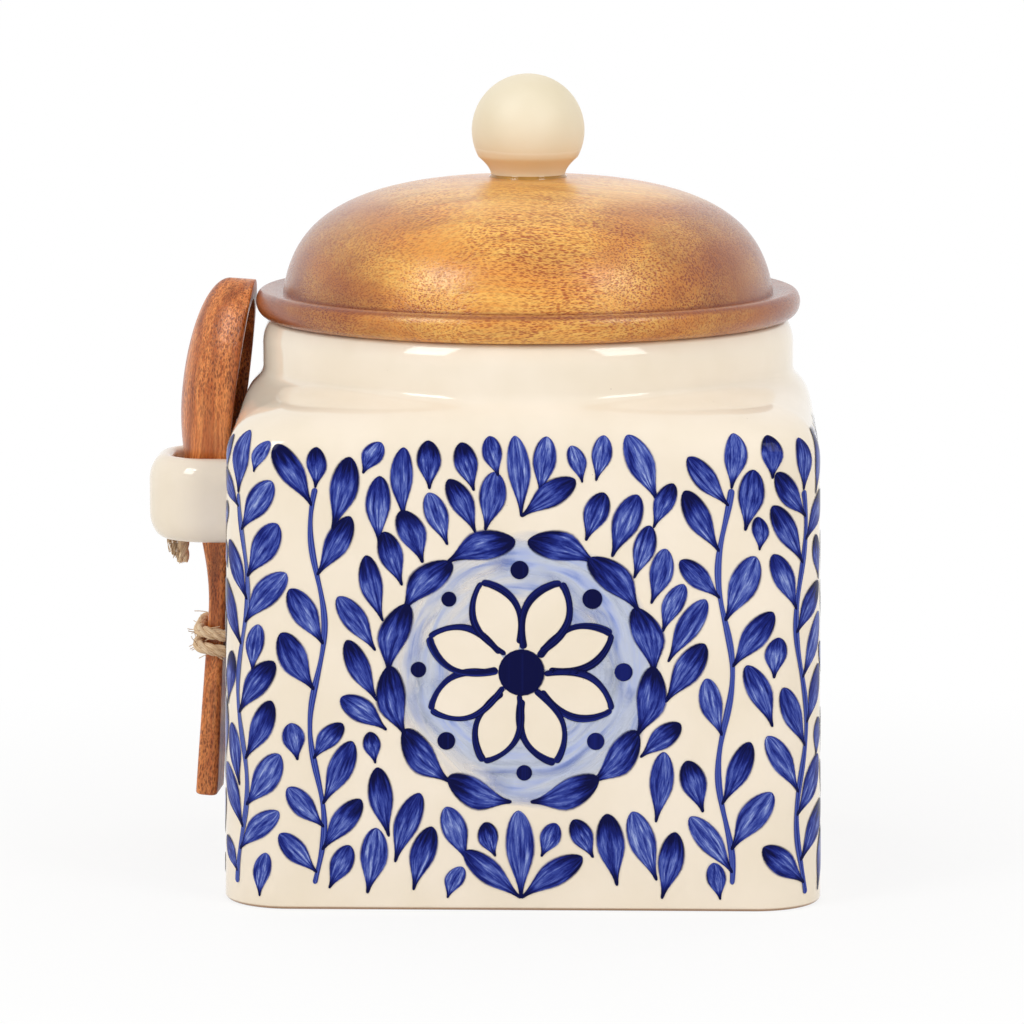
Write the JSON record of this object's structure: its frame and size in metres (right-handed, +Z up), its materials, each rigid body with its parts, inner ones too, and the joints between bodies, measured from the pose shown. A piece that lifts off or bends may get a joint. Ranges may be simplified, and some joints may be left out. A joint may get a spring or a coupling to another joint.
{
  "type": "stoneware canister",
  "caption": "Square glazed stoneware canister with a round neck, a sealed turned-wood lid with a ball knob, and a wooden scoop spoon hung in a clay side loop.",
  "frame": {"origin": "centre of the jar's flat base, on the surface it stands on", "axes": "+Z up the jar's axis, -Y out of the painted front, -X out of the wall that carries the spoon loop"},
  "size_m": [0.1632, 0.1414, 0.1922],
  "materials": {
    "glazed_stoneware": "clear gloss glaze over ivory slip, with a bare clay foot",
    "knob_stoneware": "clear gloss glaze over cream slip",
    "lid_wood": "turned acacia, satin varnish",
    "spoon_wood": "carved acacia, oiled satin",
    "silicone": "matte translucent white silicone",
    "insert_brass": "turned",
    "fixing_steel": "zinc plated",
    "jute": "plied natural jute"
  },
  "bodies": {
    "jar": {"stoneware_jar": "glazed_stoneware", "spoon_loop": "glazed_stoneware"},
    "seal": {"lid_seal": "silicone"},
    "lid": {"wooden_lid": "lid_wood", "lid_knob": "knob_stoneware", "knob_insert": "insert_brass", "knob_washer": "fixing_steel", "knob_screw": "fixing_steel"},
    "spoon": {"wooden_spoon": "spoon_wood", "twine_tie": "jute"}
  },
  "joints": [
    {"name": "lid_lift", "type": "slide", "parent": "jar", "child": "seal", "axis": [0, 0, 1], "range_m": [0, 0.1]},
    {"name": "lid_turn", "type": "hinge", "parent": "seal", "child": "lid", "pos_m": [0, 0, 0.1264], "axis": [0, 0, 1], "continuous": true},
    {"name": "spoon_lift", "type": "slide", "parent": "jar", "child": "spoon", "axis": [0, 0, 1], "range_m": [0, 0.1]}
  ]
}
